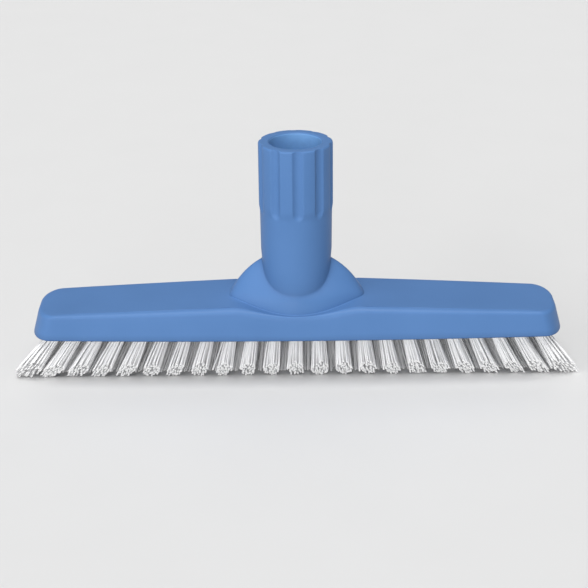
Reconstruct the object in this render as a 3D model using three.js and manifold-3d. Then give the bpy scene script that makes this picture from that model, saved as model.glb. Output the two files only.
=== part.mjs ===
// Grout brush head: a long moulded block with a fluted handle socket, and two staggered rows of
// bristle tufts, each tuft folded over a flat wire staple at the bottom of its own blind hole.
// Millimetres, +Z up, +X along the block. The origin is under the middle, at the bristle tips.

import * as THREE from "three";
import { mergeGeometries, mergeVertices } from "three/addons/utils/BufferGeometryUtils.js";
import Module from "manifold-3d";

// Block: a bowed plan with elliptical corners, drafted walls and a top that falls to both ends
const BLOCK_LENGTH = 230;
const BLOCK_DEPTH = 39;
const DEPTH_BOW = 2.5;
const CORNER_LENGTH = 8;
const CORNER_DEPTH = 13;
const MID_THICKNESS = 15.9;
const END_THICKNESS = 11.2;
const WALL_DRAFT_DEG = 4;
const END_DRAFT_DEG = 15;
const TOP_EDGE_ROUND = 1.8;
const UNDER_EDGE_ROUND = 0.7;

// Boss: a pillow with a lens-shaped foot and blunt tips, on a seat that dips into the block's top,
// with a broad-backed rib from each tip up to the socket that it carries
const BOSS_LENGTH = 58.4;
const BOSS_MARGIN = 1.9;
const LENS_LENGTH = 67;
const TIP_SQUARENESS = 40;
const BOSS_ROOT = 5;
const BOSS_ROOT_TAPER = 0.96;
const BOSS_WALL = 0.8;
const BOSS_CORE = 0.15;
const SEAT_DIP = 4.7;
const SEAT_BLEND = 1.8;
const SEAT_EDGE = 0.4;
const FRONT_RISE = 10.4;
const RISE_WIDTH = 1.55;
const RIDGE_HEIGHT = 20.2;
const RIDGE_RUN = 11.6;
const RIB_WIDTH = 6.5;

// Socket: a round tube for a tapered handle end, with a fluted collar round its mouth
const SOCKET_HEIGHT = 84;
const BORE_MOUTH_DIAMETER = 22.3;
const BORE_TAPER = 1;
const BORE_DEPTH = 55;
const BORE_LEAD_IN = 0.8;
const COLLAR_WALL = 4.65;
const COLLAR_STEP = 0.4;
const SOCKET_FOOT = 11;
const FOOT_TAPER = 0.55;
const COLLAR_LENGTH = 27;
const COLLAR_SHOULDER = 4;
const RIM_ROUND = 0.9;
const FLUTE_COUNT = 10;
const FLUTE_WIDTH = 4.8;
const FLUTE_DEPTH = 1.1;
const FLUTE_LENGTH = 31.5;
const FLUTE_PHASE_DEG = 3;

// Bristles: two rows that fan out towards both ends, trimmed to a blunt V across the depth
const BRISTLE_LENGTH = 24;
const FRONT_TUFTS = 23;
const REAR_TUFTS = FRONT_TUFTS - 1;
const END_MARGIN = 10.5;
const ROW_SPACING = 11;
const END_LEAN_DEG = 35;
const TUFT_DIAMETER = 5.6;
const TUFT_FLARE = 1.3;
const STRANDS_ROUND_TUFT = 7;
const TUFT_TWIST_DEG = 37;
const STRAND_SIZE = 1.4;
const STRAND_GAP = 0.3;
const TRIM_LAND = 5;
const TRIM_SLOPE_DEG = 55;

// Tuft fixing: blind hole, flat wire staple, and the slice of block face that carries a row
const HOLE_DEPTH = 7.5;
const STAPLE_HEIGHT = 2;
const STAPLE_THICKNESS = 0.45;
const STAPLE_BITE = 0.6;
const FOLD_THICKNESS = 0.9;
const SLICE_THICKNESS = 1.5;
const SLICE_MARGIN = 1;
const FIT_CLEARANCE = 0.2;

// Facets
const CORNER_STEPS = 8;
const SIDE_STEPS = 40;
const ROUND_STEPS = 5;
const LENS_STEPS = 26;
const DOME_STEPS = 12;
const DOME_SPACING = 1.6;
const SOCKET_SEGMENTS = 60;
const FLUTE_SEGMENTS = 20;
const HOLE_SEGMENTS = 8;
const STRAND_SIDES = 3;
const OVERCUT = 3;

const plastic = new THREE.MeshStandardMaterial({ name: "blue_plastic", color: 0x5d88c0, roughness: 0.42 });
const filament = new THREE.MeshStandardMaterial({ name: "white_bristle", color: 0xe9e9ec, roughness: 0.5 });
const wire = new THREE.MeshStandardMaterial({
  name: "staple_wire",
  color: 0xb9bcc0,
  roughness: 0.35,
  metalness: 1,
});

const wasm = await Module();
wasm.setup();

const slope = (degrees) => Math.tan(THREE.MathUtils.degToRad(degrees));
const steps = (count) => Array.from({ length: count + 1 }, (_, i) => i / count);

// Solid made from a closed geometry whose faces point out
function toSolid(geometry) {
  const bare = new THREE.BufferGeometry();
  bare.setAttribute("position", geometry.getAttribute("position").clone());
  if (geometry.index) bare.setIndex(geometry.index.clone());
  const merged = mergeVertices(bare, 1e-4);
  const corners = merged.index.array;
  const faces = [];
  for (let i = 0; i < corners.length; i += 3) {
    const [a, b, c] = corners.slice(i, i + 3);
    if (a !== b && b !== c && c !== a) faces.push(a, b, c);
  }
  const vertProperties = new Float32Array(merged.getAttribute("position").array);
  return new wasm.Manifold(new wasm.Mesh({ numProp: 3, vertProperties, triVerts: new Uint32Array(faces) }));
}

function toGeometry(solid) {
  const mesh = solid.getMesh();
  const geometry = new THREE.BufferGeometry();
  geometry.setAttribute("position", new THREE.BufferAttribute(mesh.vertProperties, 3));
  geometry.setIndex(new THREE.BufferAttribute(mesh.triVerts, 1));
  geometry.computeVertexNormals();
  return geometry;
}

// Separate closed geometries as one solid; none of them may touch another
function gather(geometries) {
  return toSolid(mergeGeometries(geometries.map((g) => (g.index ? g.toNonIndexed() : g))));
}

function namedMesh(name, geometry, material) {
  const mesh = new THREE.Mesh(geometry, material);
  mesh.name = name;
  return mesh;
}

// Skin over stacked rings. A ring starts at its left tip, runs along the front to its right tip
// and comes back along the rear, so front and rear points pair up across each cap.
function loft(rings) {
  const count = rings[0].length;
  const positions = rings.flat().flatMap((p) => [p.x, p.y, p.z]);
  const index = [];
  for (let level = 0; level < rings.length - 1; level++) {
    for (let i = 0; i < count; i++) {
      const next = (i + 1) % count;
      const low = level * count;
      const high = low + count;
      index.push(low + i, low + next, high + next, low + i, high + next, high + i);
    }
  }
  const top = (rings.length - 1) * count;
  for (let i = 0; i < count / 2; i++) {
    const rear = (count - i) % count;
    const rearNext = count - i - 1;
    const quads = [[i, i + 1, rearNext], [i, rearNext, rear]];
    for (const [a, b, c] of quads) {
      index.push(top + a, top + b, top + c);
      index.push(a, c, b);
    }
  }
  const geometry = new THREE.BufferGeometry();
  geometry.setAttribute("position", new THREE.Float32BufferAttribute(positions, 3));
  geometry.setIndex(index);
  return geometry;
}

// Lathe about +Z from a profile of [radius, height] that runs upwards from axis to axis
function turned(profile, segments) {
  const points = profile.map(([radius, height]) => new THREE.Vector2(radius, height));
  return new THREE.LatheGeometry(points, segments).rotateX(Math.PI / 2);
}

// Quarter round from straight out to straight up, about a centre at [radius, height]
function quarterRound(radius, height, size) {
  return steps(ROUND_STEPS).map((t) => [
    radius + size * Math.cos((t * Math.PI) / 2),
    height + size * Math.sin((t * Math.PI) / 2),
  ]);
}

// Plan of the underside, without its edge round, as one ring of points for the loft
function blockPlan() {
  const half = BLOCK_LENGTH / 2;
  const straight = half - CORNER_LENGTH;
  const sideDepth = (x) => BLOCK_DEPTH / 2 - DEPTH_BOW * (x / straight) ** 2;
  const endDepth = sideDepth(straight) - CORNER_DEPTH;
  const corner = steps(CORNER_STEPS).map((t) => {
    const angle = (t * Math.PI) / 2;
    return [straight + CORNER_LENGTH * Math.cos(angle), endDepth + CORNER_DEPTH * Math.sin(angle)];
  });
  const side = steps(SIDE_STEPS).slice(1, -1).map((t) => straight * (2 * t - 1));
  const front = [
    [-half, 0],
    ...corner.map(([x, y]) => [-x, -y]),
    ...side.map((x) => [x, -sideDepth(x)]),
    ...corner.map(([x, y]) => [x, -y]).reverse(),
    [half, 0],
  ];
  const rear = front.slice(1, -1).reverse().map(([x, y]) => [x, -y]);
  return [...front, ...rear];
}

// How much the boss shapes the block at a place along it: 1 in the middle, 0 past the boss's tips
const bossShare = (x) => Math.max(1 - ((2 * x) / BOSS_LENGTH) ** 2, 0) ** SEAT_BLEND;

function thicknessAt(x) {
  const fall = (MID_THICKNESS - END_THICKNESS) * (Math.abs(x) / (BLOCK_LENGTH / 2));
  return MID_THICKNESS - fall - SEAT_DIP * bossShare(x);
}

// One level of the block: the plan drawn in by the draft at its height and by an edge round
function blockRing(plan, heightAt, insetAt) {
  return plan.map(([x, y]) => {
    const height = heightAt(x);
    const endInset = height * slope(END_DRAFT_DEG) + insetAt(x);
    const wallInset = height * slope(WALL_DRAFT_DEG) + insetAt(x);
    const alongX = 1 - endInset / (BLOCK_LENGTH / 2);
    const alongY = 1 - wallInset / (BLOCK_DEPTH / 2);
    return new THREE.Vector3(x * alongX, y * alongY, height);
  });
}

function blockGeometry() {
  const plan = blockPlan();
  // The top edge is rounded less where the boss stands close to it
  const edgeShareAt = (x) => 1 + (SEAT_EDGE / TOP_EDGE_ROUND - 1) * bossShare(x);
  const topEdge = quarterRound(0, 0, TOP_EDGE_ROUND).map(([out, up]) => {
    const heightAt = (x) => thicknessAt(x) - TOP_EDGE_ROUND + up;
    return blockRing(plan, heightAt, (x) => (TOP_EDGE_ROUND - out) * edgeShareAt(x));
  });
  return loft([
    blockRing(plan, () => 0, () => UNDER_EDGE_ROUND),
    blockRing(plan, () => UNDER_EDGE_ROUND, () => 0),
    ...topEdge,
  ]);
}

const bossHalfLength = BOSS_LENGTH / 2;
const bossHalfDepth = BLOCK_DEPTH / 2 - BOSS_MARGIN;

// Half depth of the boss's foot at a place along it: a lens, cut short at its tips with round corners
function bossReach(x) {
  const corner = Math.sqrt(Math.max(1 - (x / bossHalfLength) ** TIP_SQUARENESS, 0));
  return bossHalfDepth * (1 - ((2 * x) / LENS_LENGTH) ** 2) * corner;
}

// Height of the boss over its seat: a steep edge that levels out, and the ribs along the middle
function bossRise(x, y) {
  const along = Math.min(Math.abs(x), bossHalfLength);
  const ridge = RIDGE_HEIGHT * (1 - Math.exp((along - bossHalfLength) / RIDGE_RUN)) + SEAT_DIP * bossShare(x);
  const crown = FRONT_RISE * (1 - Math.exp(-ridge / FRONT_RISE));
  const reach = bossReach(x);
  const room = reach > 0 ? Math.max(reach - y ** 2 / reach, 0) / 2 : 0;
  const edgeTurn = (2 * bossHalfDepth * along) / bossHalfLength ** 2;
  const inside = room / Math.hypot(1, edgeTurn);
  const rib = (ridge - crown) * Math.exp(-((y / RIB_WIDTH) ** 4));
  return BOSS_WALL + crown * (1 - Math.exp(-inside / RISE_WIDTH)) + rib;
}

// Lens outline with its tips on the block's centre line, its points close together at the tips
function lensRing(scale, heightAt) {
  const front = steps(LENS_STEPS).map((t) => {
    const x = -bossHalfLength * Math.cos(t * Math.PI);
    return [x * scale, -bossReach(x) * scale];
  });
  const rear = front.slice(1, -1).reverse().map(([x, y]) => [x, -y]);
  return [...front, ...rear].map(([x, y]) => new THREE.Vector3(x, y, heightAt(x, y)));
}

function bossGeometry() {
  const root = lensRing(BOSS_ROOT_TAPER, (x) => thicknessAt(x) - BOSS_ROOT);
  // Rings close up towards the steep edge, and the innermost one lies inside the socket
  const pillow = steps(DOME_STEPS).map((t) => {
    const scale = 1 - (1 - BOSS_CORE) * t ** DOME_SPACING;
    return lensRing(scale, (x, y) => thicknessAt(x) + bossRise(x, y));
  });
  return loft([root, ...pillow]);
}

const collarRadius = BORE_MOUTH_DIAMETER / 2 + COLLAR_WALL;
const boreFloor = SOCKET_HEIGHT - BORE_DEPTH;

function socketGeometry() {
  const neckRadius = collarRadius - COLLAR_STEP;
  const collarFoot = SOCKET_HEIGHT - COLLAR_LENGTH;
  return turned(
    [
      [0, SOCKET_FOOT],
      [neckRadius - FOOT_TAPER, SOCKET_FOOT],
      [neckRadius, collarFoot - COLLAR_SHOULDER],
      [collarRadius, collarFoot],
      ...quarterRound(collarRadius - RIM_ROUND, SOCKET_HEIGHT - RIM_ROUND, RIM_ROUND),
      [0, SOCKET_HEIGHT],
    ],
    SOCKET_SEGMENTS,
  );
}

function boreCutter() {
  const mouth = BORE_MOUTH_DIAMETER / 2;
  return turned(
    [
      [0, boreFloor],
      [mouth - BORE_TAPER / 2, boreFloor],
      [mouth, SOCKET_HEIGHT - BORE_LEAD_IN],
      [mouth + BORE_LEAD_IN, SOCKET_HEIGHT],
      [mouth + BORE_LEAD_IN, SOCKET_HEIGHT + OVERCUT],
      [0, SOCKET_HEIGHT + OVERCUT],
    ],
    SOCKET_SEGMENTS,
  );
}

// Round-bottomed grooves down the collar, with rounded lower ends
function fluteCutters() {
  const radius = (FLUTE_WIDTH ** 2 / 4 + FLUTE_DEPTH ** 2) / (2 * FLUTE_DEPTH);
  const foot = SOCKET_HEIGHT - FLUTE_LENGTH;
  const nose = steps(ROUND_STEPS).map((t) => [
    radius * Math.sin((t * Math.PI) / 2),
    foot + radius * (1 - Math.cos((t * Math.PI) / 2)),
  ]);
  const profile = [...nose, [radius, SOCKET_HEIGHT + OVERCUT], [0, SOCKET_HEIGHT + OVERCUT]];
  const offset = collarRadius - FLUTE_DEPTH + radius;
  const phase = THREE.MathUtils.degToRad(FLUTE_PHASE_DEG);
  return Array.from({ length: FLUTE_COUNT }, (_, i) =>
    turned(profile, FLUTE_SEGMENTS)
      .translate(0, -offset, 0)
      .rotateZ(phase + (i * 2 * Math.PI) / FLUTE_COUNT),
  );
}

// Tuft: its place on the underside, its lean, which fans out evenly towards both ends, and the
// twist of its strands, which differs from tuft to tuft as in a real brush
const tuftPitch = (BLOCK_LENGTH - 2 * END_MARGIN) / (FRONT_TUFTS - 1);

function tuftRow(count, y) {
  return Array.from({ length: count }, (_, i) => {
    const x = (i - (count - 1) / 2) * tuftPitch;
    const lean = THREE.MathUtils.degToRad(END_LEAN_DEG) * (x / (BLOCK_LENGTH / 2 - END_MARGIN));
    const twist = THREE.MathUtils.degToRad(TUFT_TWIST_DEG) * (x / tuftPitch);
    return { position: new THREE.Vector3(x, y, 0), lean, twist };
  });
}

const rows = {
  front: tuftRow(FRONT_TUFTS, -ROW_SPACING / 2),
  rear: tuftRow(REAR_TUFTS, ROW_SPACING / 2),
};
const allTufts = [...rows.front, ...rows.rear];

// A geometry drawn about +Z, moved to its tuft: its lower end swings out, its upper end swings in
function atTuft(geometry, tuft) {
  return geometry.rotateY(-tuft.lean).translate(tuft.position.x, tuft.position.y, tuft.position.z);
}

function uprightCylinder(radius, low, high, sides) {
  return new THREE.CylinderGeometry(radius, radius, high - low, sides)
    .rotateX(Math.PI / 2)
    .translate(0, 0, (low + high) / 2);
}

const holeRadius = TUFT_DIAMETER / 2;
const stapleLength = TUFT_DIAMETER + 2 * STAPLE_BITE;
const stapleTop = HOLE_DEPTH - FIT_CLEARANCE - FOLD_THICKNESS - FIT_CLEARANCE;
const stapleMiddle = stapleTop - STAPLE_HEIGHT / 2;

function stapleBox(clearance) {
  return new THREE.BoxGeometry(
    STAPLE_THICKNESS + 2 * clearance,
    stapleLength + 2 * clearance,
    STAPLE_HEIGHT + 2 * clearance,
  ).translate(0, 0, stapleMiddle);
}

// Half the length of a row's slice of block face, out to the edge of its last leaning tuft
function sliceHalfLength(row) {
  const last = row[row.length - 1];
  return last.position.x + holeRadius / Math.cos(last.lean) + SLICE_MARGIN;
}

// The slice as it lies in the underside, or its groove when a clearance is given
function sliceBox(row, clearance) {
  const low = clearance ? -OVERCUT : 0;
  const high = SLICE_THICKNESS + clearance;
  return new THREE.BoxGeometry(
    2 * (sliceHalfLength(row) + clearance),
    TUFT_DIAMETER + 2 * (SLICE_MARGIN + clearance),
    high - low,
  ).translate(0, row[0].position.y, (low + high) / 2);
}

function mouldedHead() {
  const body = toSolid(blockGeometry()).add(toSolid(bossGeometry())).add(toSolid(socketGeometry()));
  const holes = allTufts.map((tuft) =>
    atTuft(uprightCylinder(holeRadius, -OVERCUT, HOLE_DEPTH, HOLE_SEGMENTS), tuft),
  );
  const stapleSlots = allTufts.map((tuft) => atTuft(stapleBox(FIT_CLEARANCE), tuft));
  const grooves = [sliceBox(rows.front, FIT_CLEARANCE), sliceBox(rows.rear, FIT_CLEARANCE)];
  const cut = body
    .subtract(toSolid(boreCutter()))
    .subtract(gather(fluteCutters()))
    .subtract(gather(grooves))
    .subtract(gather(holes))
    .subtract(gather(stapleSlots));
  return namedMesh("moulded_head", toGeometry(cut), plastic);
}

// One strand about the tuft's axis, flaring out from its place in the hole towards the tips
function strandGeometry(angle, radius) {
  const drop = BRISTLE_LENGTH / Math.cos(THREE.MathUtils.degToRad(END_LEAN_DEG)) + OVERCUT;
  const high = SLICE_THICKNESS + OVERCUT;
  const flare = Math.atan2(radius ? TUFT_FLARE : 0, BRISTLE_LENGTH);
  return uprightCylinder(STRAND_SIZE / 2, -drop, high, STRAND_SIDES)
    .rotateY(-flare)
    .translate(radius, 0, 0)
    .rotateZ(angle);
}

function tuftStrands(tuft) {
  const ringRadius = holeRadius - STRAND_GAP - STRAND_SIZE / 2;
  const start = Math.PI / 2 + tuft.twist;
  const ring = Array.from({ length: STRANDS_ROUND_TUFT }, (_, i) => {
    return strandGeometry(start + (i * 2 * Math.PI) / STRANDS_ROUND_TUFT, ringRadius);
  });
  return [strandGeometry(start, 0), ...ring].map((strand) => atTuft(strand, tuft));
}

// The V trim across the depth, flat on its land, and open upwards to inside the slice
function trimSolid() {
  const land = TRIM_LAND / 2;
  const reach = BLOCK_DEPTH / 2;
  const outerHeight = Math.min((reach - land) * slope(TRIM_SLOPE_DEG), BRISTLE_LENGTH) - BRISTLE_LENGTH;
  const top = SLICE_THICKNESS / 2;
  const outerReach = land + (outerHeight + BRISTLE_LENGTH) / slope(TRIM_SLOPE_DEG);
  const outline = new THREE.Shape([
    new THREE.Vector2(-land, -BRISTLE_LENGTH),
    new THREE.Vector2(land, -BRISTLE_LENGTH),
    new THREE.Vector2(outerReach, outerHeight),
    new THREE.Vector2(outerReach, top),
    new THREE.Vector2(-outerReach, top),
    new THREE.Vector2(-outerReach, outerHeight),
  ]);
  const length = 2 * BLOCK_LENGTH;
  const prism = new THREE.ExtrudeGeometry(outline, { depth: length, bevelEnabled: false });
  // Drawn across Y and Z, and drawn out along X
  return toSolid(prism.translate(0, 0, -length / 2).rotateX(Math.PI / 2).rotateZ(Math.PI / 2));
}

// Root of a tuft in its blind hole, with the window that its staple passes through
function tuftRoots(row) {
  const radius = holeRadius - FIT_CLEARANCE;
  const top = HOLE_DEPTH - FIT_CLEARANCE;
  const roots = row.map((tuft) => atTuft(uprightCylinder(radius, -OVERCUT, top, HOLE_SEGMENTS), tuft));
  const windows = row.map((tuft) => atTuft(stapleBox(FIT_CLEARANCE), tuft));
  const height = HOLE_DEPTH + OVERCUT;
  const aboveFace = new THREE.BoxGeometry(2 * BLOCK_LENGTH, 2 * BLOCK_DEPTH, height)
    .translate(0, 0, SLICE_THICKNESS / 2 + height / 2);
  return gather(roots).intersect(toSolid(aboveFace)).subtract(gather(windows));
}

function bristleRow(name, row) {
  const strands = gather(row.flatMap(tuftStrands)).intersect(trimSolid());
  const solid = toSolid(sliceBox(row, 0)).add(tuftRoots(row)).add(strands);
  return namedMesh(name, toGeometry(solid), filament);
}

// Each staple stands in a holder that leans with its tuft
function staples(label, row) {
  return row.map((tuft, i) => {
    const holder = new THREE.Group();
    holder.position.copy(tuft.position);
    holder.rotation.y = -tuft.lean;
    const number = String(i + 1).padStart(2, "0");
    holder.add(namedMesh(`staple_${label}_${number}`, stapleBox(0), wire));
    return holder;
  });
}

// Heights above are measured from the underside, which the bristles lift off the floor
const brush = new THREE.Group();
brush.position.z = BRISTLE_LENGTH;
brush.add(
  mouldedHead(),
  bristleRow("front_bristle_row", rows.front),
  bristleRow("rear_bristle_row", rows.rear),
  ...staples("front", rows.front),
  ...staples("rear", rows.rear),
);

const part = new THREE.Group();
part.add(brush);

export default part;
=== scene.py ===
"""Looks of a grout brush head: a blue moulded head, two rows of white filaments and their staples.

Sizes are in millimetres, heights are measured up from the block's underside, and the front faces -Y.
"""
import logging
import math
from dataclasses import dataclass
from enum import Enum
from typing import Any

import bmesh
import bpy
import numpy as np
from mathutils import Matrix, Vector


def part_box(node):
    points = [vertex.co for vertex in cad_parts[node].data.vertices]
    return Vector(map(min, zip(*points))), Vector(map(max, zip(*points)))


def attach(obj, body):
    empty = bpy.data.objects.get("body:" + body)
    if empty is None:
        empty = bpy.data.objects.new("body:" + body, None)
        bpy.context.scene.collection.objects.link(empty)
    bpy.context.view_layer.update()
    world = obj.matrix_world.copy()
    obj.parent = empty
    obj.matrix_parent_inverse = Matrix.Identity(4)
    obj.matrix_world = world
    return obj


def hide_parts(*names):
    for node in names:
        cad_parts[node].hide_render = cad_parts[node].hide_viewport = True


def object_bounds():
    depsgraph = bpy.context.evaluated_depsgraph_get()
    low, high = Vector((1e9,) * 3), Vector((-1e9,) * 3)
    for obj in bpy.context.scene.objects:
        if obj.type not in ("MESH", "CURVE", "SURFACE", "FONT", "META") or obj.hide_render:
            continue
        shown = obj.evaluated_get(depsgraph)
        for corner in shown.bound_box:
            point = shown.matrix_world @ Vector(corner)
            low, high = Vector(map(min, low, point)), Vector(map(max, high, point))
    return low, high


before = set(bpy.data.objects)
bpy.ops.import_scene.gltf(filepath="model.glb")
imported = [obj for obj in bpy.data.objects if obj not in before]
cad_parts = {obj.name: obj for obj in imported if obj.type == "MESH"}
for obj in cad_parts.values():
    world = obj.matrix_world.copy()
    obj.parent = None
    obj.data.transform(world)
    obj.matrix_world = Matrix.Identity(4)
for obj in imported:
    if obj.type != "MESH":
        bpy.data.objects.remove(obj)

LOG = logging.getLogger("grout_brush")
MM = 0.001
TINY = 1e-6
GOLDEN_TURN = math.pi * (3 - math.sqrt(5))
CAD_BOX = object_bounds()
HEAD_LOW, HEAD_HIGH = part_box("moulded_head")
UNDERSIDE = HEAD_LOW.z / MM
SOCKET_HEIGHT = (HEAD_HIGH.z - HEAD_LOW.z) / MM
# Sockets of the Mix node that carry colours
MIX_FACTOR, MIX_FIRST, MIX_SECOND, MIX_RESULT = 0, 6, 7, 2

Array = np.ndarray
Colour = tuple[float, float, float, float]
Range = tuple[float, float]


class Side(Enum):
    """Which bristle row a piece belongs to."""

    FRONT = "front"
    REAR = "rear"


SEEDS = {Side.FRONT: 11, Side.REAR: 29}


class Signal:
    """An output socket of a material, with arithmetic that adds Math nodes."""

    def __init__(self, bench: "NodeBench", socket: bpy.types.NodeSocket) -> None:
        """Wrap a socket of a bench, which adds further nodes."""
        self.bench = bench
        self.socket = socket

    def _math(self, operation: str, first: "Value", second: "Value") -> "Signal":
        """Add one Math node for two operands."""
        return self.bench.add("ShaderNodeMath", {"operation": operation}, {0: first, 1: second})

    def __add__(self, other: "Value") -> "Signal":
        """Sum."""
        return self._math("ADD", self, other)

    def __sub__(self, other: "Value") -> "Signal":
        """Difference."""
        return self._math("SUBTRACT", self, other)

    def __rsub__(self, other: "Value") -> "Signal":
        """Difference with a number on the left."""
        return self._math("SUBTRACT", other, self)

    def __mul__(self, other: "Value") -> "Signal":
        """Product."""
        return self._math("MULTIPLY", self, other)

    __radd__ = __add__
    __rmul__ = __mul__


Value = Signal | float


class NodeBench:
    """The nodes of one material, from its coordinates to its surface."""

    def __init__(self, name: str) -> None:
        """Make an empty material.

        Args:
            name: The material's name.
        """
        self.material = bpy.data.materials.new(name)
        self.material.use_nodes = True
        self.tree = self.material.node_tree
        self.tree.nodes.clear()
        self.end = self.tree.nodes.new("ShaderNodeOutputMaterial")

    def add(self, kind: str, settings: dict[str, Any], inputs: dict[Any, Any], output: Any = 0) -> Signal:
        """Add one node: its settings first, then the values or links of its sockets.

        Args:
            kind: The node's type.
            settings: Properties of the node.
            inputs: Sockets by name or number, each with a constant or a Signal.
            output: Name or number of the output that is wanted.

        Returns:
            That output.
        """
        node = self.tree.nodes.new(kind)
        for key, value in settings.items():
            setattr(node, key, value)
        for key, value in inputs.items():
            if isinstance(value, Signal):
                self.tree.links.new(value.socket, node.inputs[key])
            else:
                node.inputs[key].default_value = value
        return Signal(self, node.outputs[output])

    def place(self) -> Signal:
        """The piece's own coordinates, in metres."""
        return self.add("ShaderNodeTexCoord", {}, {}, "Object")

    def attribute(self, name: str) -> Signal:
        """A number that the mesh carries at its points."""
        return self.add("ShaderNodeAttribute", {"attribute_name": name}, {}, "Fac")

    def noise(self, place: Signal, grain: float, detail: float = 2.0, roughness: float = 0.5) -> Signal:
        """Noise from 0 to 1 whose blotches are about as wide as the grain, in millimetres."""
        sockets = {"Vector": place, "Scale": 1 / (grain * MM), "Detail": detail, "Roughness": roughness}
        return self.add("ShaderNodeTexNoise", {}, sockets, "Fac")

    def spread(self, value: Signal, low: float, high: float) -> Signal:
        """Stretch a value so that low becomes 0 and high becomes 1, clamped."""
        sockets = {"Value": value, "From Min": low, "From Max": high}
        return self.add("ShaderNodeMapRange", {"clamp": True}, sockets)

    def mix(self, factor: Value, first: Any, second: Any) -> Signal:
        """Blend two colours: a factor of 0 gives the first, 1 the second."""
        sockets = {MIX_FACTOR: factor, MIX_FIRST: first, MIX_SECOND: second}
        return self.add("ShaderNodeMix", {"data_type": "RGBA"}, sockets, MIX_RESULT)

    def bump(self, height: Signal, strength: float, relief: float) -> Signal:
        """Turn a height from 0 to 1 into the normal of a relief, whose depth is in millimetres."""
        sockets = {"Strength": strength, "Distance": relief * MM, "Height": height}
        return self.add("ShaderNodeBump", {}, sockets, "Normal")

    def surface(self, inputs: dict[str, Any]) -> bpy.types.Material:
        """Finish the material with its surface.

        Args:
            inputs: Sockets of the surface, each with a constant or a Signal.

        Returns:
            The material.
        """
        shader = self.add("ShaderNodeBsdfPrincipled", {}, inputs)
        self.tree.links.new(shader.socket, self.end.inputs["Surface"])
        return self.material


@dataclass(frozen=True)
class BluePlastic:
    """Satin polypropylene, moulded in one colour, paler where edges were rubbed, with painted light in the
    bore and painted shade along the underside and in the socket's crease.
    """

    deep: Colour = (0.073, 0.169, 0.373, 1.0)
    plain: Colour = (0.081, 0.183, 0.398, 1.0)
    rubbed: Colour = (0.101, 0.216, 0.440, 1.0)
    # Painted light: the inside of the bore, lighter for the light and sheen that fall into it
    bore_lit: Colour = (0.168, 0.358, 0.662, 1.0)
    # Painted shade: along the underside's edge and in the crease round the socket's foot
    shaded: Colour = (0.030, 0.060, 0.150, 1.0)
    cloud_grain: float = 30.0
    rub_grain: float = 5.0
    peel_grain: float = 1.1
    fine_grain: float = 0.28
    cloud_range: Range = (0.3, 0.7)
    patch_range: Range = (0.35, 0.7)
    rub_strength: float = 0.1
    even_bore_light: float = 0.8
    shade_strength: float = 0.7
    roughness: float = 0.40
    cloud_dullness: float = 0.07
    fine_dullness: float = 0.05
    rub_polish: float = 0.05
    bore_dullness: float = 0.1
    specular: float = 0.18
    peel_share: float = 0.7
    relief_strength: float = 0.2
    relief: float = 0.05

    def material(self) -> bpy.types.Material:
        """Build the finish.

        Returns:
            The material.
        """
        bench = NodeBench("blue_plastic")
        place = bench.place()
        cloud = bench.spread(bench.noise(place, self.cloud_grain, detail=3.0), *self.cloud_range)
        patches = bench.noise(place, self.rub_grain, detail=4.0, roughness=0.6)
        patches = bench.spread(patches, *self.patch_range)
        rub = bench.attribute("edge_rub") * patches
        bore_light = bench.attribute("bore_painted_light")
        peel = bench.noise(place, self.peel_grain, detail=1.0)
        fine = bench.noise(place, self.fine_grain, roughness=0.6)
        colour = bench.mix(rub * self.rub_strength, bench.mix(cloud, self.deep, self.plain), self.rubbed)
        # Painted light: the bore is lighter, for the light and sheen that fall into it
        bore_lighting = bore_light * (self.even_bore_light + (1 - self.even_bore_light) * patches)
        colour = bench.mix(bore_lighting, colour, self.bore_lit)
        # Painted shade: darker along the underside's edge and in the crease round the socket's foot
        colour = bench.mix(bench.attribute("painted_shade") * self.shade_strength, colour, self.shaded)
        dullness = self.roughness + self.cloud_dullness * cloud + self.fine_dullness * fine
        relief = self.peel_share * peel + (1 - self.peel_share) * fine
        return bench.surface({
            "Base Color": colour,
            "Roughness": dullness - self.rub_polish * rub + self.bore_dullness * bore_light,
            "Specular IOR Level": self.specular,
            "Normal": bench.bump(relief, self.relief_strength, self.relief),
        })


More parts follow.
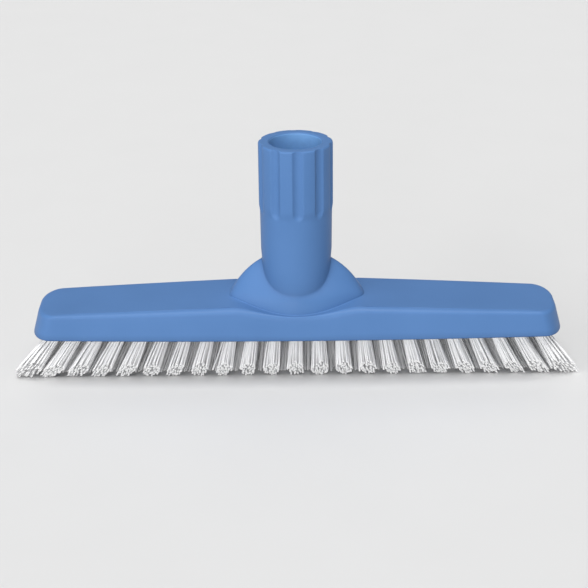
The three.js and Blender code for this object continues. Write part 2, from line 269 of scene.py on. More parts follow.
@dataclass(frozen=True)
class WhiteFilament:
    """Stiff white translucent filament, white where cut, with painted shade at the root, between the rows
    and in the tufts' cores.

    A run goes from 0 at a filament's root to 1 at its tip, and a depth from 0 at a tuft's outside
    to 1 in its middle.
    """

    grey: Colour = (0.87, 0.87, 0.88, 1.0)
    white: Colour = (0.95, 0.95, 0.955, 1.0)
    # Painted shade: at the roots, between the rows and in the tufts' cores
    root_shaded: Colour = (0.62, 0.62, 0.63, 1.0)
    core_shaded: Colour = (0.48, 0.48, 0.49, 1.0)
    between_rows_shaded: Colour = (0.42, 0.42, 0.43, 1.0)
    cut_end: Colour = (0.96, 0.96, 0.96, 1.0)
    streak_grain: float = 0.9
    tone_share: float = 0.8
    streak_share: float = 0.4
    white_range: Range = (0.1, 0.7)
    root_shade: float = 0.6
    root_shade_run: Range = (0.1, 0.4)
    between_rows_shade: float = 0.6
    between_rows_run: Range = (0.35, 0.75)
    core_shade: float = 0.75
    core_shade_depth: Range = (0.08, 0.3)
    core_shade_run: Range = (0.75, 0.95)
    cut_run: Range = (0.985, 1.0)
    roughness: float = 0.34
    tone_dullness: float = 0.16
    cut_dullness: float = 0.2
    specular: float = 0.3
    glow: float = 0.2
    glow_depth: float = 1.0
    relief_strength: float = 0.1
    relief: float = 0.03

    def material(self) -> bpy.types.Material:
        """Build the finish.

        Returns:
            The material.
        """
        bench = NodeBench("white_bristle")
        tone = bench.attribute("strand_tone")
        run = bench.attribute("strand_run")
        streak = bench.noise(bench.place(), self.streak_grain)
        whiteness = bench.spread(self.tone_share * tone + self.streak_share * streak, *self.white_range)
        side = bench.mix(whiteness, self.grey, self.white)
        # Painted shade at the filaments' roots, under the block
        root = 1 - bench.spread(run, *self.root_shade_run)
        side = bench.mix(self.root_shade * root, side, self.root_shaded)
        # Painted shade on the filaments that face the other row, near the block
        between_rows = self.between_rows_shade * bench.attribute("strand_inner")
        side = bench.mix(between_rows * (1 - bench.spread(run, *self.between_rows_run)), side, self.between_rows_shaded)
        # Painted shade on the filaments in a tuft's core, towards the tips
        inner = self.core_shade * bench.spread(bench.attribute("strand_depth"), *self.core_shade_depth)
        side = bench.mix(inner * bench.spread(run, *self.core_shade_run), side, self.core_shaded)
        cut = bench.spread(run, *self.cut_run)
        return bench.surface({
            "Base Color": bench.mix(cut, side, self.cut_end),
            "Roughness": self.roughness + self.tone_dullness * tone + self.cut_dullness * cut,
            "Specular IOR Level": self.specular,
            "Subsurface Weight": self.glow,
            "Subsurface Radius": (1.0, 1.0, 1.0),
            "Subsurface Scale": self.glow_depth * MM,
            "Normal": bench.bump(streak, self.relief_strength, self.relief),
        })


@dataclass(frozen=True)
class GalvanisedWire:
    """Flat zinc-coated wire with dull spangles."""

    dull: Colour = (0.42, 0.43, 0.45, 1.0)
    bright: Colour = (0.66, 0.67, 0.69, 1.0)
    spangle_grain: float = 0.7
    spangle_range: Range = (0.3, 0.7)
    scratch_grain: float = 0.15
    roughness: float = 0.28
    spangle_dullness: float = 0.2
    scratch_dullness: float = 0.1
    relief_strength: float = 0.15
    relief: float = 0.02

    def material(self) -> bpy.types.Material:
        """Build the finish.

        Returns:
            The material.
        """
        bench = NodeBench("staple_wire")
        place = bench.place()
        spangle = bench.spread(bench.noise(place, self.spangle_grain, detail=3.0), *self.spangle_range)
        scratch = bench.noise(place, self.scratch_grain)
        return bench.surface({
            "Base Color": bench.mix(spangle, self.dull, self.bright),
            "Roughness": self.roughness + self.spangle_dullness * spangle + self.scratch_dullness * scratch,
            "Metallic": 1.0,
            "Normal": bench.bump(scratch, self.relief_strength, self.relief),
        })


@dataclass(frozen=True)
class PaleFloor:
    """Matt pale grey studio paper."""

    shade: Colour = (0.635, 0.635, 0.635, 1.0)
    light: Colour = (0.65, 0.65, 0.65, 1.0)
    grain: float = 40.0
    roughness: float = 0.9
    specular: float = 0.2

    def material(self) -> bpy.types.Material:
        """Build the finish.

        Returns:
            The material.
        """
        bench = NodeBench("pale_floor")
        cloud = bench.noise(bench.place(), self.grain)
        return bench.surface({
            "Base Color": bench.mix(cloud, self.shade, self.light),
            "Roughness": self.roughness,
            "Specular IOR Level": self.specular,
        })


def deselect_all() -> None:
    """Leave nothing selected, so that the next operator acts on its own piece alone."""
    if bpy.context.object is not None and bpy.context.object.mode != "OBJECT":
        bpy.ops.object.mode_set(mode="OBJECT")
    bpy.ops.object.select_all(action="DESELECT")


def take(piece: bpy.types.Object) -> None:
    """Make one piece the selected and active one.

    Args:
        piece: The piece.
    """
    deselect_all()
    piece.select_set(True)
    bpy.context.view_layer.objects.active = piece


def in_frame(points: Array) -> Array:
    """Millimetres above the underside as metres in the shared frame."""
    return (np.asarray(points, float) + (0.0, 0.0, UNDERSIDE)) * MM


def quarter_turns(steps: int) -> Array:
    """Angles from 0 to a quarter turn, in even steps."""
    return np.linspace(0, math.pi / 2, steps + 1)


def steps_after(low: float, high: float, steps: int) -> Array:
    """Values from low to high, in even steps, without low itself."""
    return np.linspace(low, high, steps + 1)[1:]


def store_marks(mesh: bpy.types.Mesh, marks: dict[str, Array]) -> None:
    """Store numbers at a mesh's points, for its finish to read.

    Args:
        mesh: The mesh.
        marks: For each mark's name, one number for every point.
    """
    for name, values in marks.items():
        store = mesh.attributes.new(name, "FLOAT", "POINT")
        store.data.foreach_set("value", values.astype(np.float32))


class DrawnSkin:
    """A skin drawn up ring by ring from one circle of vertices."""

    def __init__(self, name: str, ring: Array) -> None:
        """Start from a circle and lay it on the first ring.

        Args:
            name: The piece's name.
            ring: Points of the first ring, in millimetres.
        """
        deselect_all()
        bpy.ops.mesh.primitive_circle_add(vertices=len(ring), radius=1.0, fill_type="NOTHING")
        self.piece = bpy.context.object
        self.piece.name = self.piece.data.name = name
        bpy.ops.object.mode_set(mode="EDIT")
        bpy.ops.mesh.select_mode(type="VERT")
        self.order = {index: index for index in range(len(ring))}
        self._lay(bmesh.from_edit_mesh(self.piece.data), ring)

    def _lay(self, mesh: bmesh.types.BMesh, ring: Array) -> None:
        """Place the newest ring of vertices.

        Args:
            mesh: The mesh in edit mode.
            ring: The ring's points, in millimetres.
        """
        mesh.verts.ensure_lookup_table()
        places = in_frame(ring)
        for index, slot in self.order.items():
            mesh.verts[index].co = places[slot]
        bmesh.update_edit_mesh(self.piece.data, loop_triangles=False)

    def draw(self, ring: Array) -> None:
        """Extrude the newest ring and lay the new vertices on the next one.

        Args:
            ring: The next ring's points, in millimetres.
        """
        bpy.ops.mesh.extrude_region_move()
        mesh = bmesh.from_edit_mesh(self.piece.data)
        mesh.verts.index_update()
        order = {}
        for vertex in mesh.verts:
            if vertex.select:
                others = [edge.other_vert(vertex) for edge in vertex.link_edges]
                below = next(other for other in others if not other.select)
                order[vertex.index] = self.order[below.index]
        self.order = order
        self._lay(mesh, ring)

    def close(self) -> bpy.types.Object:
        """Fill the two open ends and point all faces outwards.

        Returns:
            The finished piece.
        """
        bpy.ops.mesh.edge_face_add()
        bpy.ops.mesh.select_all(action="DESELECT")
        bpy.ops.mesh.select_non_manifold()
        bpy.ops.mesh.edge_face_add()
        bpy.ops.mesh.select_all(action="SELECT")
        bpy.ops.mesh.normals_make_consistent(inside=False)
        bpy.ops.object.mode_set(mode="OBJECT")
        return self.piece


@dataclass(frozen=True)
class TuftLayout:
    """Where the tufts stand on the underside, and how they fan out towards both ends."""

    block_length: float = 230.0
    end_margin: float = 10.5
    front_count: int = 23
    row_spacing: float = 11.0
    end_lean_deg: float = 35.0
    hole_diameter: float = 5.6
    hole_depth: float = 7.5

    def row(self, side: Side) -> tuple[Array, Array, float]:
        """Places of one row.

        Args:
            side: The front or the rear row.

        Returns:
            The tufts' X, their lean in radians, and the row's Y.
        """
        pitch = (self.block_length - 2 * self.end_margin) / (self.front_count - 1)
        count = self.front_count if side is Side.FRONT else self.front_count - 1
        along = (np.arange(count) - (count - 1) / 2) * pitch
        reach = self.block_length / 2 - self.end_margin
        lean = np.radians(self.end_lean_deg) * along / reach
        across = self.row_spacing / 2
        return along, lean, -across if side is Side.FRONT else across


@dataclass
class MouldedHead:
    """Block, boss and fluted socket, moulded in one piece."""

    tufts: TuftLayout
    finish: BluePlastic = BluePlastic()
    points_round: int = 360

    depth: float = 39.0
    bow: float = 2.5
    corner_length: float = 8.0
    corner_depth: float = 13.0
    mid_thickness: float = 15.9
    end_thickness: float = 11.2
    wall_draft_deg: float = 4.0
    end_draft_deg: float = 15.0
    end_round: float = 1.5
    mid_round: float = 3.0
    under_round: float = 0.7
    # Shares of a quarter of the outline at which its flat end and its corner stop
    end_share: float = 0.05
    corner_share: float = 0.38
    under_steps: int = 4
    wall_steps: int = 4
    edge_steps: int = 8
    seat_steps: int = 21

    boss_length: float = 58.4
    boss_half_depth: float = 16.8
    seat_dip: float = 4.7
    seat_blend: float = 1.8
    seat_edge: float = 0.4
    lens_length: float = 67.0
    tip_squareness: int = 40
    foot_round: float = 0.4
    boss_wall: float = 0.4
    front_rise: float = 6.7
    tip_rise: float = 3.0
    rise_width: float = 0.8
    ridge_height: float = 21.3
    ridge_run: float = 11.6
    ridge_round: float = 2.5
    slope_hollow: float = 1.35
    boss_spacing: float = 1.9
    boss_steps: int = 20
    fillet_steps: int = 6
    # A blend with this haste is over after a third of its way
    blend_haste: float = 3.0

    foot_radius: float = 14.85
    neck_radius: float = 15.4
    collar_radius: float = 15.8
    collar_length: float = 27.0
    collar_shoulder: float = 4.0
    socket_fillet: float = 0.45
    socket_steps: int = 8
    rim_round: float = 0.9
    rim_steps: int = 8
    rim_flat_shares: tuple[float, ...] = (0.4, 0.8, 1.0)
    bore_radius: float = 11.15
    bore_taper: float = 0.5
    bore_depth: float = 55.0
    bore_lead_in: float = 0.8
    lead_in_steps: int = 5
    bore_steps: int = 7
    bore_floor_round: float = 1.5
    floor_steps: int = 4
    floor_ring_share: float = 0.5

    flute_count: int = 10
    flute_width: float = 4.8
    flute_depth: float = 1.1
    flute_length: float = 31.5
    flute_phase_deg: float = 3.0
    flute_edge: float = 0.25
    flute_clear: float = 1.0
    # Close rings start this far below the flutes and cover their rounded noses
    nose_lead: float = 8.0
    nose_run: float = 15.0
    nose_steps: int = 21
    flute_steps: int = 6

    drill_sides: int = 24
    drill_below: float = 3.0
    smooth_deg: float = 38.0
    full_rub: float = 0.6
    rub_from: float = 1.2
    shortest_edge: float = 0.02
    bore_margin: float = 0.1
    # Painted shade: its height above the underside, its strength in the socket's crease, and the crease's
    # reach
    bottom_shade_height: float = 1.0
    crease_shade: float = 0.4
    crease_reach: float = 0.7
    crease_rise: float = 3.0
    crease_clear: float = 1.0

    def __post_init__(self) -> None:
        """Take the length from the tufts' layout, and work out the angles that every ring shares."""
        self.length = self.tufts.block_length
        self.angle = np.arange(self.points_round) * 2 * math.pi / self.points_round
        self.turn_x = np.cos(self.angle)
        self.turn_y = np.sin(self.angle)
        # Rounded first, so that a point on an axis counts as neither side
        digits = 9
        self.sign_x = np.sign(np.round(self.turn_x, digits))
        self.sign_y = np.sign(np.round(self.turn_y, digits))
        # 0 at the tips on the centre line, 1 at the middle of the front and the rear
        self.quarter = np.arcsin(np.clip(np.abs(self.turn_y), 0, 1)) / (math.pi / 2)

    def ring(self, x: Array, y: Array, z: Array) -> Array:
        """Stack coordinates into one ring of points."""
        return np.stack(np.broadcast_arrays(x, y, z), axis=1).astype(float)

    def round_ring(self, radius: Array, height: Array) -> Array:
        """A ring round the socket's axis."""
        return self.ring(radius * self.turn_x, radius * self.turn_y, height)

    def boss_share(self, x: Array) -> Array:
        """How much the boss shapes the block at a place along it: 1 in the middle, 0 past the tips."""
        return np.clip(1 - (2 * x / self.boss_length) ** 2, 0, 1) ** self.seat_blend

    def top_height(self, x: Array) -> Array:
        """Height of the block's top, which falls to both ends and dips round the boss."""
        fall = (self.mid_thickness - self.end_thickness) * np.abs(x) / (self.length / 2)
        return self.mid_thickness - fall - self.seat_dip * self.boss_share(x)

    def top_round(self, x: Array) -> Array:
        """Radius of the block's top edge, which softens towards the middle."""
        return self.mid_round + (self.end_round - self.mid_round) * np.abs(x) / (self.length / 2)

    def plan(self) -> tuple[Array, Array]:
        """Outline of the block seen from above.

        Returns:
            X and Y of the outline's points.
        """
        straight = self.length / 2 - self.corner_length
        end_depth = self.depth / 2 - self.bow - self.corner_depth
        u = self.quarter
        in_corner = u < self.corner_share
        turn = np.clip((u - self.end_share) / (self.corner_share - self.end_share), 0, 1) * math.pi / 2
        along = straight * np.clip((1 - u) / (1 - self.corner_share), 0, 1)
        x = np.where(in_corner, straight + self.corner_length * np.cos(turn), along)
        y = np.where(in_corner, end_depth + self.corner_depth * np.sin(turn),
                     self.depth / 2 - self.bow * (along / straight) ** 2)
        y = np.where(u < self.end_share, end_depth * u / self.end_share, y)
        return x * self.sign_x, y * self.sign_y

    def block_ring(self, height: Array, inset: Array) -> Array:
        """One level of the block's wall, drawn in by the draft and by an edge round.

        Args:
            height: Height of each point.
            inset: How far each point is drawn in by the round.

        Returns:
            The ring.
        """
        x, y = self.plan()
        end_inset = height * math.tan(math.radians(self.end_draft_deg)) + inset
        wall_inset = height * math.tan(math.radians(self.wall_draft_deg)) + inset
        x = x * (1 - end_inset / (self.length / 2))
        y = y * (1 - wall_inset / (self.depth / 2))
        return self.ring(x, y, height)

    def block_rings(self) -> list[Array]:
        """The block from its underside, up its wall and over its top edge.

        Returns:
            The rings.
        """
        x, _ = self.plan()
        zero = np.zeros_like(x)
        top = self.top_height(x)
        drop = self.top_round(x)
        edge = drop + (self.seat_edge - drop) * self.boss_share(x)
        rings = []
        for turn in quarter_turns(self.under_steps):
            rings.append(self.block_ring(zero + self.under_round * (1 - np.cos(turn)),
                                         zero + self.under_round * (1 - np.sin(turn))))
        for share in steps_after(0, 1, self.wall_steps)[:-1]:
            rise = (top - drop - self.under_round) * share
            rings.append(self.block_ring(self.under_round + rise, zero))
        for turn in quarter_turns(self.edge_steps):
            rings.append(self.block_ring(top - drop * (1 - np.sin(turn)), edge * (1 - np.cos(turn))))
        return rings

    def lens(self) -> tuple[Array, Array, Array, Array]:
        """Foot of the boss: a lens whose blunt tips lie on the block's centre line.

        Returns:
            X and Y of its points, and X and Y of their outward directions.
        """
        x = self.boss_length / 2 * self.turn_x
        y = self.sign_y * self.boss_reach(x)
        run_x = np.roll(x, -1) - np.roll(x, 1)
        run_y = np.roll(y, -1) - np.roll(y, 1)
        size = np.hypot(run_x, run_y)
        return x, y, run_y / size, -run_x / size

    def boss_reach(self, x: Array) -> Array:
        """Half depth of the boss's foot at a place along it: a lens, cut short with round corners."""
        corner = np.sqrt(np.clip(1 - (2 * x / self.boss_length) ** self.tip_squareness, 0, 1))
        return self.boss_half_depth * (1 - (2 * x / self.lens_length) ** 2) * corner

    def boss_height(self, x: Array, y: Array) -> Array:
        """Height of the boss: a steep edge, and even slopes from it up to a ridge along the middle.

        Args:
            x: Place along the block.
            y: Place across the block.

        Returns:
            The height above the underside.
        """
        half = self.boss_length / 2
        along = np.minimum(np.abs(x), half)
        ridge = self.ridge_height * (1 - np.exp((along - half) / self.ridge_run))
        ridge = ridge + self.seat_dip * self.boss_share(x)
        crown = self.tip_rise + (self.front_rise - self.tip_rise) * self.boss_share(x) ** 2
        crown = crown * (1 - np.exp(-ridge / crown))
        reach = np.maximum(self.boss_reach(x), TINY)
        turn = 2 * self.boss_half_depth * along / half ** 2
        inside = np.maximum(reach - y ** 2 / reach, 0) / 2 / np.hypot(1, turn)
        edge = np.hypot(reach, self.ridge_round)
        slope = np.maximum(edge - np.hypot(y, self.ridge_round), 0) / (edge - self.ridge_round)
        foot = self.top_height(x) + self.foot_round + self.boss_wall
        wall = crown * (1 - np.exp(-inside / self.rise_width))
        return foot + wall + (ridge - crown) * slope ** self.slope_hollow

    def boss_rings(self, rim: Array) -> list[Array]:
        """The block's top, the foot of the boss, its roof and the fillet into the socket.

        Args:
            rim: The last ring of the block's top edge.

        Returns:
            The rings, the last of which starts the socket's wall.
        """
        lens_x, lens_y, out_x, out_y = self.lens()
        fillet = self.foot_round
        foot_x, foot_y = lens_x + fillet * out_x, lens_y + fillet * out_y
        rings = []
        for t in steps_after(0, 1, self.seat_steps):
            x = rim[:, 0] + (foot_x - rim[:, 0]) * t
            y = rim[:, 1] + (foot_y - rim[:, 1]) * t
            rings.append(self.ring(x, y, self.top_height(x)))
        foot = self.top_height(foot_x)
        for turn in quarter_turns(self.fillet_steps)[1:]:
            reach = fillet * (1 - np.sin(turn))
            rings.append(self.ring(lens_x + reach * out_x, lens_y + reach * out_y,
                                   foot + fillet * (1 - np.cos(turn))))
        start = self.foot_radius + self.socket_fillet
        # The fillet ends on the seat beside the lens, a hair off the level that the boss starts from
        gap = foot + fillet + self.boss_wall - self.boss_height(lens_x, lens_y)
        for t in np.linspace(0, 1, self.boss_steps + 1):
            along = t ** self.boss_spacing
            x = lens_x + (start * self.turn_x - lens_x) * along
            y = lens_y + (start * self.turn_y - lens_y) * along
            share = max(0.0, 1 - self.blend_haste * t)
            rings.append(self.ring(x, y, self.boss_height(x, y) + gap * share))
        for turn in quarter_turns(self.fillet_steps)[1:]:
            radius = self.foot_radius + self.socket_fillet * (1 - np.sin(turn))
            x, y = radius * self.turn_x, radius * self.turn_y
            lift = self.socket_fillet * (1 - np.cos(turn))
            rings.append(self.ring(x, y, self.boss_height(x, y) + lift))
        return rings

    def socket_radius(self, height: Array) -> Array:
        """Outer radius of the socket, without its flutes.

        Args:
            height: Height above the underside.

        Returns:
            The radius there.
        """
        collar_foot = SOCKET_HEIGHT - self.collar_length
        neck_top = collar_foot - self.collar_shoulder
        taper = np.clip(height / neck_top, 0, 1)
        step = np.clip((height - neck_top) / self.collar_shoulder, 0, 1)
        step = step * step * (3 - 2 * step)
        neck = self.foot_radius + (self.neck_radius - self.foot_radius) * taper
        return neck + (self.collar_radius - self.neck_radius) * step

    def fluted(self, radius: float, height: float) -> Array:
        """Radius of a socket ring after the flutes are cut.

        Args:
            radius: Radius without flutes.
            height: Height of the ring.

        Returns:
            Radius at each point round the socket.
        """
        cutter = (self.flute_width ** 2 / 4 + self.flute_depth ** 2) / (2 * self.flute_depth)
        axis = self.collar_radius - self.flute_depth + cutter
        nose = SOCKET_HEIGHT - self.flute_length + cutter
        reach = cutter ** 2 - max(nose - height, 0) ** 2
        pitch = 2 * math.pi / self.flute_count
        # One flute faces the front, turned a little by the phase
        from_front = self.angle + math.pi / 2 - math.radians(self.flute_phase_deg)
        off = (from_front + pitch / 2) % pitch - pitch / 2
        room = reach - (axis * np.sin(off)) ** 2
        clear = radius + self.flute_clear
        groove = np.where(room > 0, axis * np.cos(off) - np.sqrt(np.maximum(room, 0)), clear)
        blend = np.clip(0.5 + 0.5 * (groove - radius) / self.flute_edge, 0, 1)
        return groove + (radius - groove) * blend - self.flute_edge * blend * (1 - blend)

    def socket_rings(self, start: Array) -> list[Array]:
        """The socket's wall, its fluted collar, rim and bore.

        Args:
            start: The ring where the wall starts.

        Returns:
            The rings, ending round the bore's floor.
        """
        level = SOCKET_HEIGHT - self.flute_length - self.nose_lead
        rings = []
        for t in steps_after(0, 1, self.socket_steps):
            z = start[:, 2] + (level - start[:, 2]) * t
            share = min(1.0, self.blend_haste * t)
            radius = self.foot_radius + (self.socket_radius(z) - self.foot_radius) * share
            rings.append(self.round_ring(radius, z))
        straight_top = SOCKET_HEIGHT - self.rim_round
        past_noses = level + self.nose_run
        heights = [*steps_after(level, past_noses, self.nose_steps),
                   *steps_after(past_noses, straight_top, self.flute_steps)]
        for z in heights:
            rings.append(self.round_ring(self.fluted(self.socket_radius(z), z), z))
        for turn in quarter_turns(self.rim_steps)[1:]:
            z = straight_top + self.rim_round * math.sin(turn)
            outer = self.collar_radius - self.rim_round * (1 - math.cos(turn))
            rings.append(self.round_ring(self.fluted(outer, z), z))
        return rings + self.bore_rings()

    def bore_rings(self) -> list[Array]:
        """The flat of the rim, the rounded mouth, and the bore down to its floor.

        Returns:
            The rings.
        """
        mouth = self.bore_radius + self.bore_lead_in
        flat = self.collar_radius - self.rim_round
        floor = SOCKET_HEIGHT - self.bore_depth
        profile = [(flat + (mouth - flat) * t, SOCKET_HEIGHT) for t in self.rim_flat_shares]
        for turn in quarter_turns(self.lead_in_steps)[1:]:
            profile.append((mouth - self.bore_lead_in * math.sin(turn),
                            SOCKET_HEIGHT - self.bore_lead_in * (1 - math.cos(turn))))
        low = floor + self.bore_floor_round
        high = SOCKET_HEIGHT - self.bore_lead_in
        for t in steps_after(0, 1, self.bore_steps):
            profile.append((self.bore_radius - self.bore_taper * t, high + (low - high) * t))
        small = self.bore_radius - self.bore_taper - self.bore_floor_round
        for turn in quarter_turns(self.floor_steps)[1:]:
            profile.append((small + self.bore_floor_round * math.cos(turn),
                            low - self.bore_floor_round * math.sin(turn)))
        profile.append((small * self.floor_ring_share, floor))
        return [self.round_ring(radius, height) for radius, height in profile]

    def tuft_drills(self) -> bpy.types.Object:
        """Leaning drills for all the blind tuft holes, joined into one cutter.

        Returns:
            The cutter.
        """
        deselect_all()
        below = self.drill_below
        drills = []
        for side in Side:
            along, lean, across = self.tufts.row(side)
            for x, tilt in zip(along, lean):
                bpy.ops.mesh.primitive_cylinder_add(
                    vertices=self.drill_sides, radius=self.tufts.hole_diameter / 2 * MM,
                    depth=(self.tufts.hole_depth + below) * MM,
                )
                drill = bpy.context.object
                middle = Matrix.Translation((0, 0, (self.tufts.hole_depth - below) / 2 * MM))
                place = Matrix.Translation(Vector(in_frame((x, across, 0.0))))
                drill.data.transform(place @ Matrix.Rotation(-tilt, 4, "Y") @ middle)
                drills.append(drill)
        for drill in drills:
            drill.select_set(True)
        bpy.ops.object.join()
        return bpy.context.object

    def build(self) -> bpy.types.Object:
        """Model the head.

        Returns:
            The piece.
        """
        block = self.block_rings()
        boss = self.boss_rings(block[-1])
        rings = [*block, *boss, *self.socket_rings(boss[-1])]
        skin = DrawnSkin("moulded_head_skin", rings[0])
        for ring in rings[1:]:
            skin.draw(ring)
        piece = skin.close()
        drills = self.tuft_drills()
        take(piece)
        holes = piece.modifiers.new("tuft_holes", "BOOLEAN")
        holes.operation = "DIFFERENCE"
        holes.object = drills
        holes.solver = "EXACT"
        bpy.ops.object.modifier_apply(modifier=holes.name)
        bpy.data.objects.remove(drills)
        bpy.ops.object.shade_smooth_by_angle(angle=math.radians(self.smooth_deg))
        return piece

    def mark_wear_and_painted_light(self, piece: bpy.types.Object) -> None:
        """Mark at the mesh's points where edges are rubbed, where the bore gets painted light, and where
        painted shade goes along the underside and in the socket's crease.

        Args:
            piece: The head.
        """
        mesh = piece.data
        places = np.array([vertex.co for vertex in mesh.vertices]) / MM - (0.0, 0.0, UNDERSIDE)
        normals = np.array([vertex.normal for vertex in mesh.vertices])
        first, second = np.array([edge.vertices[:] for edge in mesh.edges]).T
        run = places[second] - places[first]
        length = np.maximum(np.linalg.norm(run, axis=1), TINY)
        bend = np.einsum("ij,ij->i", normals[second] - normals[first], run) / length ** 2
        bend = np.where(length > self.shortest_edge, bend, 0)
        curve = np.zeros(len(places))
        np.maximum.at(curve, first, bend)
        np.maximum.at(curve, second, bend)
        x, y, height = places.T
        axis = np.hypot(x, y)
        floor = SOCKET_HEIGHT - self.bore_depth
        in_bore = (axis < self.bore_radius + self.bore_margin) & (height > floor - self.bore_margin)
        # Painted shade in the crease round the socket's foot, fading with height above the boss
        above_boss = np.maximum(height - self.boss_height(x, y), 0)
        crease = np.exp(-np.abs(axis - self.foot_radius) / self.crease_reach)
        crease *= np.exp(-above_boss / self.crease_rise)
        outside = axis > self.bore_radius + self.crease_clear
        crease *= outside & (height < SOCKET_HEIGHT - self.collar_length)
        store_marks(mesh, {
            "edge_rub": np.clip(curve / self.full_rub, 0, 1) * (height > self.rub_from) * ~in_bore,
            # Painted light inside the bore
            "bore_painted_light": in_bore.astype(float),
            # Painted shade along the underside's edge and in the socket's crease
            "painted_shade": np.maximum(np.clip(1 - height / self.bottom_shade_height, 0, 1), self.crease_shade * crease),
        })

    def dress(self, piece: bpy.types.Object) -> None:
        """Give the head its finish and its place in the frame.

        Args:
            piece: The head.
        """
        self.mark_wear_and_painted_light(piece)
        piece.data.materials.append(self.finish.material())
        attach(piece, "root")
        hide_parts("moulded_head")


@dataclass
class BristleRow:
    """One row of tufts, each a bundle of stiff filaments cut to the brush's blunt V."""

    side: Side
    tufts: TuftLayout
    material: bpy.types.Material
    seed: int
    length: float = 24.0
    strand_radius: float = 0.38
    strands: int = 44
    strand_sides: int = 8
    steps: tuple[float, ...] = (0.25, 0.5, 0.75, 0.97)
    root: float = 5.0
    bundle_radius: float = 2.4
    jitter: float = 0.08
    flare: float = 1.35
    end_flare: float = 3.0
    end_from: float = 0.93
    waver: float = 0.18
    bend: float = 0.22
    sweep: float = -0.9
    uneven: float = 0.45
    stray_share: float = 0.06
    stray: float = 1.0
    burr: float = 0.1
    trim_land: float = 2.5
    trim_slope_deg: float = 55.0
    trim_share: float = 0.6
    longest: float = 1.5
    cut_rounds: int = 22
    tip_run: float = 0.99
    root_run: float = 0.01
    inner_middle: float = 0.5
    inner_slope: float = 0.7
    box_margin: float = 0.3
    smooth_deg: float = 50.0

    def strand(self) -> tuple[Array, list[tuple[int, ...]]]:
        """One filament: a thin prism, cut across at steps of its length, with a burr at its cut end.

        Returns:
            Its points, along Z from 0 at the root to 1 at the tip, and its faces.
        """
        deselect_all()
        bpy.ops.mesh.primitive_cylinder_add(vertices=self.strand_sides, radius=1.0, depth=1.0)
        piece = bpy.context.object
        bpy.ops.object.mode_set(mode="EDIT")
        for step in self.steps:
            bpy.ops.mesh.select_all(action="SELECT")
            bpy.ops.mesh.bisect(plane_co=(0, 0, step - 0.5), plane_no=(0, 0, 1))
        bpy.ops.object.mode_set(mode="OBJECT")
        points = np.array([vertex.co for vertex in piece.data.vertices]) + (0, 0, 0.5)
        faces = [tuple(face.vertices) for face in piece.data.polygons]
        bpy.data.meshes.remove(piece.data)
        points[points[:, 2] > self.tip_run, :2] *= 1 + self.burr
        return points, faces

    def trim_height(self, across: Array) -> Array:
        """Height of the trimmed tips above the floor at a place across the brush."""
        rise = (np.abs(across) - self.trim_land) * math.tan(math.radians(self.trim_slope_deg))
        return np.clip(rise, 0, self.length * self.trim_share)

    def tuft(
        self, dice: np.random.Generator, x: float, lean: float, y: float, end: float, shape: Array,
    ) -> Array:
        """All the filaments of one tuft, cut where they meet the trimmed V.

        Args:
            dice: Source of the small differences between filaments.
            x: The tuft's place along the block.
            lean: Its lean in radians.
            y: Its row's place across the block.
            end: 0 for an inner tuft, 1 for the last one, which splays more.
            shape: Points of one filament.

        Returns:
            Points of each filament, by filament and point.
        """
        order = np.arange(self.strands) + 0.5
        spot = self.bundle_radius * np.sqrt(order / self.strands)
        turn = order * GOLDEN_TURN + dice.uniform(0, 2 * math.pi)
        at = np.stack([spot * np.cos(turn), spot * np.sin(turn)], 1)
        at += dice.normal(0, self.jitter, at.shape)
        flare = self.flare + (self.end_flare - self.flare) * end
        splay = at / self.bundle_radius * flare + dice.normal(0, self.waver, at.shape)
        strays = dice.random(self.strands) < self.stray_share
        splay += np.where(strays, self.stray, 0)[:, None] * dice.normal(0, 1, at.shape)
        bend = dice.normal(0, self.bend, at.shape)
        uneven = np.abs(dice.normal(0, self.uneven, (self.strands, 1)))
        free = self.length / math.cos(lean)

        def at_run(run: Array) -> Array:
            """Places of the filaments' points.

            Args:
                run: How far along its filament each point lies, from the root.

            Returns:
                Their places, by filament and point.
            """
            share = np.clip((run - self.root) / free, 0, self.longest)[..., None]
            middle = at[:, None] + splay[:, None] * share + 4 * bend[:, None] * share * (1 - share)
            middle = middle + share * (self.sweep, 0.0)
            side = middle[..., 0] + self.strand_radius * shape[:, 0]
            across = y + middle[..., 1] + self.strand_radius * shape[:, 1]
            drop = self.root - run
            return np.stack([
                x + side * math.cos(lean) - drop * math.sin(lean),
                across,
                side * math.sin(lean) + drop * math.cos(lean),
            ], -1)

        short = np.zeros((self.strands, len(shape)))
        long = short + self.root + free * self.longest
        for _ in range(self.cut_rounds):
            half = (short + long) / 2
            point = at_run(half)
            clear = point[..., 2] + self.length > self.trim_height(point[..., 1]) + uneven
            short = np.where(clear, half, short)
            long = np.where(clear, long, half)
        return at_run(short * shape[:, 2])

    def build(self) -> bpy.types.Object:
        """Model the row as one mesh of separate closed filaments.

        Returns:
            The piece.
        """
        dice = np.random.default_rng(self.seed)
        shape, faces = self.strand()
        along, lean, across = self.tufts.row(self.side)
        outward = np.abs(along) / np.abs(along).max()
        ends = np.maximum(0.0, (outward - self.end_from) / (1 - self.end_from))
        bundles = [
            self.tuft(dice, x, tilt, across, end, shape) for x, tilt, end in zip(along, lean, ends)
        ]
        strands = np.concatenate(bundles)
        half = CAD_BOX[1][0] / MM - self.box_margin
        strands[..., 0] = np.clip(strands[..., 0], -half, half)
        count, size = strands.shape[:2]
        mesh = bpy.data.meshes.new(f"{self.side.value}_bristles")
        all_faces = [tuple(corner + n * size for corner in face) for n in range(count) for face in faces]
        mesh.from_pydata(in_frame(strands.reshape(-1, 3)).tolist(), [], all_faces)
        piece = bpy.data.objects.new(mesh.name, mesh)
        bpy.context.scene.collection.objects.link(piece)
        depth = np.tile(1 - np.sqrt((np.arange(self.strands) + 0.5) / self.strands), len(along))
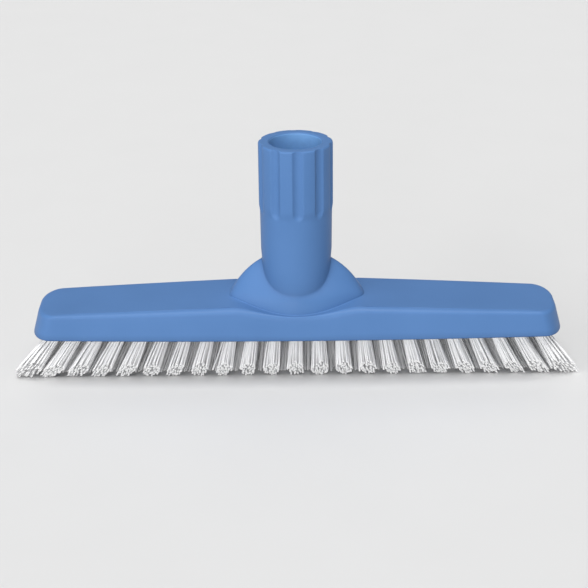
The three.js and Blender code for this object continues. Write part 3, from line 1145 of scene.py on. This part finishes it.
        # 1 for a filament that faces the other row, 0 for one that faces out
        roots = strands[:, shape[:, 2] < self.root_run, 1].mean(axis=1)
        facing = (across - roots) * np.sign(across) / self.bundle_radius
        inner = np.clip(self.inner_middle + self.inner_slope * facing, 0, 1)
        store_marks(mesh, {
            "strand_inner": np.repeat(inner, size),
            "strand_tone": np.repeat(dice.random(count), size),
            "strand_run": np.tile(shape[:, 2], count),
            "strand_depth": np.repeat(depth, size),
        })
        take(piece)
        bpy.ops.object.mode_set(mode="EDIT")
        bpy.ops.mesh.select_all(action="SELECT")
        bpy.ops.mesh.normals_make_consistent(inside=False)
        bpy.ops.object.mode_set(mode="OBJECT")
        bpy.ops.object.shade_smooth_by_angle(angle=math.radians(self.smooth_deg))
        return piece

    def dress(self, piece: bpy.types.Object) -> None:
        """Give the row its finish and its place in the frame.

        Args:
            piece: The row.
        """
        piece.data.materials.append(self.material)
        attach(piece, "root")
        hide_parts(f"{self.side.value}_bristle_row")


@dataclass
class Staples:
    """The flat wire staples that hold the tufts, kept as the frame made them."""

    finish: GalvanisedWire = GalvanisedWire()

    def dress(self) -> int:
        """Give every staple its finish.

        Returns:
            How many staples there are.
        """
        material = self.finish.material()
        nodes = [node for name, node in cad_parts.items() if name.startswith("staple_")]
        for node in nodes:
            node.data.materials.clear()
            node.data.materials.append(material)
        return len(nodes)


@dataclass(frozen=True)
class Lamp:
    """A soft light, far enough away to light floor and brush evenly.

    Its azimuth is 0 on the camera's side and grows to the left.
    """

    name: str
    azimuth_deg: float
    elevation_deg: float
    strength: float
    spread_deg: float

    def way(self) -> Vector:
        """Direction from the brush to the light.

        Returns:
            The direction, of length 1.
        """
        turn = math.radians(self.azimuth_deg)
        rise = math.radians(self.elevation_deg)
        level = math.cos(rise)
        return Vector((-math.sin(turn) * level, -math.cos(turn) * level, math.sin(rise)))


@dataclass
class Studio:
    """Pale floor, soft light mostly from the front and the left, and the camera of the photograph.

    The floor and the distance are in metres.
    """

    floor_size: float = 12.0
    frame_pixels: float = 588.0
    focal_pixels: float = 1705.4
    target_pixel: tuple[float, float] = (296.8, 323.3)
    distance: float = 0.75
    elevation_deg: float = 24.0
    roll_deg: float = 0.55
    sensor: float = 36.0
    lamps: tuple[Lamp, ...] = (
        Lamp("key_light", azimuth_deg=50.0, elevation_deg=14.0, strength=1.32, spread_deg=46.0),
        Lamp("low_light", azimuth_deg=8.0, elevation_deg=5.0, strength=0.84, spread_deg=20.0),
        Lamp("front_light", azimuth_deg=0.0, elevation_deg=64.0, strength=2.75, spread_deg=40.0),
        Lamp("back_light", azimuth_deg=180.0, elevation_deg=60.0, strength=0.35, spread_deg=44.0),
    )
    sky: Colour = (0.23, 0.23, 0.23, 1.0)

    def build_floor(self) -> None:
        """Lay the floor that the bristle tips stand on."""
        deselect_all()
        bpy.ops.mesh.primitive_plane_add(size=self.floor_size)
        floor = bpy.context.object
        floor.name = "studio_floor"
        floor.data.materials.append(PaleFloor().material())

    def build_light(self) -> None:
        """Hang the soft lights and fill the rest from an even sky."""
        for lamp in self.lamps:
            light = bpy.data.lights.new(lamp.name, "SUN")
            light.energy = lamp.strength
            light.angle = math.radians(lamp.spread_deg)
            holder = bpy.data.objects.new(lamp.name, light)
            holder.location = lamp.way()
            holder.rotation_euler = (-lamp.way()).to_track_quat("-Z", "Y").to_euler()
            bpy.context.scene.collection.objects.link(holder)
        world = bpy.data.worlds.new("studio_sky")
        world.use_nodes = True
        world.node_tree.nodes["Background"].inputs["Color"].default_value = self.sky
        bpy.context.scene.world = world

    def build_camera(self) -> None:
        """Set the camera where the photograph was taken from."""
        rise = math.radians(self.elevation_deg)
        target = Vector((0.0, 0.0, UNDERSIDE * MM))
        back = Vector((0.0, -math.cos(rise), math.sin(rise)))
        lens = bpy.data.cameras.new("photo_camera")
        lens.sensor_width = self.sensor
        lens.lens = self.focal_pixels / self.frame_pixels * self.sensor
        middle = self.frame_pixels / 2
        pan = math.atan2(self.target_pixel[0] - middle, self.focal_pixels)
        tilt = math.atan2(self.target_pixel[1] - middle, self.focal_pixels)
        turn = Matrix.Rotation(math.pi / 2 - rise + tilt, 4, "X") @ Matrix.Rotation(pan, 4, "Y")
        turn = turn @ Matrix.Rotation(-math.radians(self.roll_deg), 4, "Z")
        camera = bpy.data.objects.new("photo_camera", lens)
        camera.matrix_world = Matrix.Translation(target + back * self.distance) @ turn
        bpy.context.scene.collection.objects.link(camera)
        bpy.context.scene.camera = camera
        bpy.context.scene.view_settings.view_transform = "Standard"

    def build(self) -> None:
        """Set up floor, light and camera."""
        self.build_floor()
        self.build_light()
        self.build_camera()


def main() -> None:
    """Build every piece in order."""
    logging.basicConfig(level=logging.INFO, format="%(message)s")
    Studio().build()
    tufts = TuftLayout()
    head = MouldedHead(tufts)
    skin = head.build()
    head.dress(skin)
    LOG.info("%s: %d faces", skin.name, len(skin.data.polygons))
    filament = WhiteFilament().material()
    for side, seed in SEEDS.items():
        row = BristleRow(side, tufts, filament, seed)
        piece = row.build()
        row.dress(piece)
        LOG.info("%s: %d faces", piece.name, len(piece.data.polygons))
    LOG.info("staples: %d", Staples().dress())


if __name__ == "__main__":
    main()
